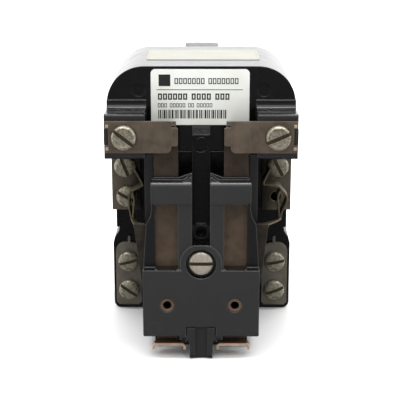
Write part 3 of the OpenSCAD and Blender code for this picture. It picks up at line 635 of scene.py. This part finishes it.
# small tabs at the outer corners of the front plates, in a bright copper that paints the glints on those
# corners
tab_w = 0.9 * MM
tab_h = 1.0 * MM
tab_inset = 0.9 * MM
tab_from_low = 1.4 * MM
tab_from_high = 1.5 * MM
tab_rise = 0.2 * MM
tab_root = 0.1 * MM
bm = bmesh.new()
for name in ("front_terminal_left", "front_terminal_right"):
    low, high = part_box(name)
    middle = high.x - tab_inset if high.x > 0 else low.x + tab_inset
    for height in (low.z + tab_from_low, high.z - tab_from_high):
        block(bm, (middle - tab_w / 2, low.y - tab_rise, height - tab_h / 2),
              (middle + tab_w / 2, low.y + tab_root, height + tab_h / 2))
tabs = piece("plate_tabs", mesh_from("plate_tabs", bm), "glinting_tab", "base")
round_edges(tabs, 0.12)


# ---- label printing ----------------------------------------------------------

INK_T = 0.02 * MM
label_low, label_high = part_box("front_label")


def on_label(bm, left, top, right, bottom):
    """A patch of ink; distances are in millimetres from the label's upper left corner."""
    block(bm, (label_low.x + left * MM, label_low.y - INK_T, label_high.z - bottom * MM),
          (label_low.x + right * MM, label_low.y + INK_T, label_high.z - top * MM))


def blank_line(bm, left, top, right, height, words, stroke):
    """A line of empty boxes in place of letters: words gives how many boxes each word has."""
    word_gap = 0.7
    side_gap = 0.1
    pitch = (right - left) / (sum(words) + word_gap * (len(words) - 1))
    x = left
    for word in words:
        for _ in range(word):
            a, b = x + pitch * side_gap, x + pitch * (1 - side_gap)
            on_label(bm, a, top, b, top + stroke)
            on_label(bm, a, top + height - stroke, b, top + height)
            on_label(bm, a, top + stroke, a + stroke, top + height - stroke)
            on_label(bm, b - stroke, top + stroke, b, top + height - stroke)
            x += pitch
        x += pitch * word_gap


bm = bmesh.new()
# a plain square mark, the first line beside it and a rule below both
on_label(bm, left=2.5, top=1.7, right=6.2, bottom=5.4)
blank_line(bm, left=7.4, top=2.85, right=27.9, height=1.9, words=(7, 7), stroke=0.3)
on_label(bm, left=1.8, top=6.45, right=29.2, bottom=6.65)
blank_line(bm, left=2.1, top=7.75, right=25.1, height=2.0, words=(6, 4, 3), stroke=0.42)
blank_line(bm, left=2.1, top=10.9, right=19.6, height=1.3, words=(3, 5, 2, 5), stroke=0.2)
# upright stripes of a few widths, which stand for no code
stripe_w = (0.3, 0.4, 0.2, 0.55)
stripe_gap = (0.25, 0.4, 0.2)
x = 2.3
for number in range(34):
    width = stripe_w[number % len(stripe_w)]
    on_label(bm, left=x, top=13.0, right=x + width, bottom=15.8)
    x += width + stripe_gap[number % len(stripe_gap)]
piece("label_print", mesh_from("label_print", bm, smooth=False), "black_ink", "base")

# a border line a little inside the edge of the top label
top_low, top_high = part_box("top_label")
inset = 0.5 * MM
line_w = 0.25 * MM
x0, y0 = top_low.x + inset, top_low.y + inset
x1, y1 = top_high.x - inset, top_high.y - inset
bm = bmesh.new()
for left, front, right, back in ((x0, y0, x1, y0 + line_w), (x0, y1 - line_w, x1, y1),
                                 (x0, y0 + line_w, x0 + line_w, y1 - line_w),
                                 (x1 - line_w, y0 + line_w, x1, y1 - line_w)):
    block(bm, (left, front, top_high.z - INK_T), (right, back, top_high.z + INK_T))
piece("top_label_border", mesh_from("top_label_border", bm, smooth=False), "line_ink", "base")


# ---- springs and leads -------------------------------------------------------


def smooth_line(points, steps):
    """More points on a smooth curve through the given ones (a Catmull-Rom spline)."""
    line = []
    for i in range(len(points) - 1):
        a, b, c, d = (Vector(points[max(0, min(len(points) - 1, i + k))]) for k in (-1, 0, 1, 2))
        for step in range(steps):
            t = step / steps
            line.append(0.5 * (2 * b + (c - a) * t + (2 * a - 5 * b + 4 * c - d) * t * t
                               + (3 * b - a - 3 * c + d) * t ** 3))
    line.append(Vector(points[-1]))
    return line


def tube(bm, line, radius, sides):
    """A round wire along a line of points."""
    rings = []
    for i, point in enumerate(line):
        along = (line[min(i + 1, len(line) - 1)] - line[max(i - 1, 0)]).normalized()
        side = along.cross(Vector((0, 1, 0))).normalized()
        up = side.cross(along)
        rings.append([bm.verts.new(point + radius * (side * math.cos(a) + up * math.sin(a)))
                      for a in (2 * math.pi * k / sides for k in range(sides))])
    for a, b in zip(rings, rings[1:]):
        for k in range(sides):
            bm.faces.new((a[k], a[(k + 1) % sides], b[(k + 1) % sides], b[k]))
    bm.faces.new(rings[0])
    bm.faces.new(list(reversed(rings[-1])))


def spring_rise(t):
    """How much of the spring's length its wire has covered after the share t of its turns. The turns at
    either end lie nearly flat."""
    closed = 0.2
    slope = 0.1
    if t < closed:
        return slope * t
    if t > 1 - closed:
        return 1 - slope * (1 - t)
    return closed * slope + (t - closed) * (1 - 2 * closed * slope) / (1 - 2 * closed)


spring_low, spring_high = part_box("return_spring")
wire_r = 0.2 * MM
coil_r = (spring_high.x - spring_low.x) / 2 - wire_r
wire_length = spring_high.y - spring_low.y - 2 * wire_r
mid_x = (spring_low.x + spring_high.x) / 2
mid_z = (spring_low.z + spring_high.z) / 2
turns = 4
steps = turns * 24
line = []
for i in range(steps + 1):
    t = i / steps
    y = spring_low.y + wire_r + wire_length * spring_rise(t)
    a = 2 * math.pi * turns * t
    line.append(Vector((mid_x + coil_r * math.cos(a), y, mid_z + coil_r * math.sin(a))))
bm = bmesh.new()
tube(bm, line, wire_r, 10)
wire_mesh = mesh_from("return_spring_wire", bm)
spring = piece("return_spring_wire", wire_mesh, "nickel_screw", "base")
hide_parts("return_spring")
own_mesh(spring)


def ribbon(bm, line, side_line, thick):
    """A strip between two matching lines of points, with that thickness."""
    rings = []
    for i, (a, b) in enumerate(zip(line, side_line)):
        along = (line[min(i + 1, len(line) - 1)] - line[max(i - 1, 0)]).normalized()
        up = along.cross((b - a).normalized()).normalized() * thick / 2
        rings.append([bm.verts.new(p) for p in (a - up, b - up, b + up, a + up)])
    for a, b in zip(rings, rings[1:]):
        for k in range(4):
            bm.faces.new((a[k], a[(k + 1) % 4], b[(k + 1) % 4], b[k]))
    bm.faces.new(rings[0])
    bm.faces.new(list(reversed(rings[-1])))


def flex_lead(side, bend, loop, fold):
    """A thin folded shunt: the bend from the terminal, the loop below it and the fold where the tail starts.
    Points are in millimetres, away from the middle and upwards."""
    node = f"flex_lead_{side}"
    front = FRONT + 17 * MM
    back = FRONT + 23 * MM
    sign = -1 if side == "left" else 1
    thick = 0.5 * MM
    strap_low, strap_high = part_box(f"lead_strap_{side}")
    bm = bmesh.new()
    for outline in (bend, loop):
        line = smooth_line([(sign * x * MM, 0, z * MM) for x, z in outline], 8)
        ribbon(bm, [Vector((p.x, front, p.z)) for p in line],
               [Vector((p.x, back, p.z)) for p in line], thick)
    # the tail runs from the fold forward to the top of the strap and widens to it
    fold_x, fold_z = fold
    fold_in, fold_out = fold_x - 0.9, fold_x + 0.3
    strap_out = max(abs(strap_low.x), abs(strap_high.x)) / MM
    strap_in = strap_out - 3.2
    edges = []
    for x_fold, x_strap in ((fold_in, strap_in), (fold_out, strap_out)):
        # sideways, behind the front plane and upwards
        path = ((x_fold, 22, fold_z), (x_fold, 17, fold_z), (x_strap, 11, fold_z - 0.2),
                (x_strap, 8, 43.4), (x_strap, 6.9, 42.6))
        edges.append(smooth_line([(sign * x * MM, FRONT + y * MM, z * MM) for x, y, z in path], 6))
    ribbon(bm, *edges, thick)
    name = f"flex_shunt_{side}"
    made = piece(name, mesh_from(name, bm), "spring_bronze", None)
    round_edges(made, 0.1)
    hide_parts(node)
    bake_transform(made)


flex_lead(
    "left",
    bend=((21.7, 59.0), (19.4, 54.4), (19.4, 53.6), (22.6, 51.8), (23.2, 51.4)),
    loop=((22.9, 51.7), (23.7, 50.2), (23.7, 46.3), (23.0, 42.6), (22.72, 41.9), (22.55, 42.6),
          (22.3, 45.5), (22.0, 48.4), (22.4, 50.9), (22.9, 51.6)),
    fold=(22.7, 42.0))
flex_lead(
    "right",
    bend=((22.4, 59.0), (20.4, 54.8), (20.7, 54.1), (24.4, 53.7), (26.2, 52.6)),
    loop=((25.9, 52.6), (27.5, 50.9), (28.2, 49.2), (27.6, 47.0), (26.6, 44.9), (26.1, 42.8),
          (25.9, 42.2), (25.75, 42.9), (25.4, 46.4), (25.2, 49.7), (25.7, 51.8)),
    fold=(25.9, 42.3))


# ---- stage -------------------------------------------------------------------

FLOOR_HALF = 3.0
bm = bmesh.new()
bmesh.ops.create_grid(bm, x_segments=1, y_segments=1, size=FLOOR_HALF)
floor_mesh = mesh_from("floor", bm)
f = Finish("floor", 0.6, specular=0.2)
floor_mesh.materials.append(f.done(f.mix(f.noise(30.0), (0.93, 0.93, 0.93), (0.96, 0.96, 0.96))))
floor = bpy.data.objects.new("floor", floor_mesh)
scene.collection.objects.link(floor)
# the glossy black faces would mirror the pale floor, and in the photo they are dark
floor.visible_glossy = False

CAMERA_DISTANCE = 0.329
CAMERA_SIDE = 0.0014
CAMERA_HEIGHT = 0.1435
LOOKS_DOWN = math.radians(15.3)
LOOKS_LEFT = math.radians(0.3)
camera = bpy.data.objects.new("camera", bpy.data.cameras.new("camera"))
camera.data.lens = 98.55
camera.location = (CAMERA_SIDE, FRONT - CAMERA_DISTANCE, CAMERA_HEIGHT)
camera.rotation_euler = (math.pi / 2 - LOOKS_DOWN, 0, LOOKS_LEFT)
scene.collection.objects.link(camera)
scene.camera = camera


def area_light(name, place, target, size, power):
    """A soft rectangular light that points at its target."""
    light = bpy.data.lights.new(name, "AREA")
    light.shape = "RECTANGLE"
    light.size, light.size_y = size
    light.energy = power
    lamp = bpy.data.objects.new(name, light)
    lamp.location = place
    lamp.rotation_euler = (Vector(target) - Vector(place)).to_track_quat("-Z", "Y").to_euler()
    scene.collection.objects.link(lamp)


# a narrow strip overhead draws crisp highlights, and the sweep whitens the floor behind
area_light("top", place=(0.02, -0.1, 0.62), target=(0.01, 0.01, 0), size=(0.9, 0.1), power=3.0)
area_light("key", place=(0.06, -0.6, 0.95), target=(0, 0, 0.05), size=(0.9, 0.7), power=4.2)
area_light("sweep", place=(0, 1.3, 0.9), target=(0, 1.3, 0), size=(2.4, 1.6), power=30)

world = bpy.data.worlds.new("studio")
scene.world = world
world.use_nodes = True
tree = world.node_tree
toward = tree.nodes.new("ShaderNodeTexCoord").outputs["Generated"]


def glow(direction, low, high, dim, bright):
    """Light that grows from dim to bright as its direction nears the given one."""
    dot = tree.nodes.new("ShaderNodeVectorMath")
    dot.operation = "DOT_PRODUCT"
    dot.inputs[1].default_value = direction
    tree.links.new(toward, dot.inputs[0])
    ramp = tree.nodes.new("ShaderNodeMapRange")
    for key, number in (("From Min", low), ("From Max", high), ("To Min", dim), ("To Max", bright)):
        ramp.inputs[key].default_value = number
    tree.links.new(dot.outputs["Value"], ramp.inputs["Value"])
    return ramp.outputs["Result"]


# a pale room above the horizon, a bright sheet low behind the object, and one at each side
UP = (0.0, 0.0, 1.0)
LOW_BEHIND = (0.0, 0.966, 0.259)
room = glow(UP, low=-0.25, high=0.4, dim=0.18, bright=0.5)
sheets = [glow(LOW_BEHIND, low=0.7, high=0.95, dim=0.0, bright=1.3)]
for side in (1.0, -1.0):
    sheets.append(glow((side, 0.0, 0.0), low=0.6, high=0.95, dim=0.0, bright=1.0))
total = room
for sheet in sheets:
    both = tree.nodes.new("ShaderNodeMath")
    tree.links.new(total, both.inputs[0])
    tree.links.new(sheet, both.inputs[1])
    total = both.outputs[0]
tree.links.new(total, tree.nodes["Background"].inputs["Strength"])
tree.nodes["Background"].inputs["Color"].default_value = (1.0, 1.0, 1.0, 1.0)
scene.view_settings.view_transform = "Standard"
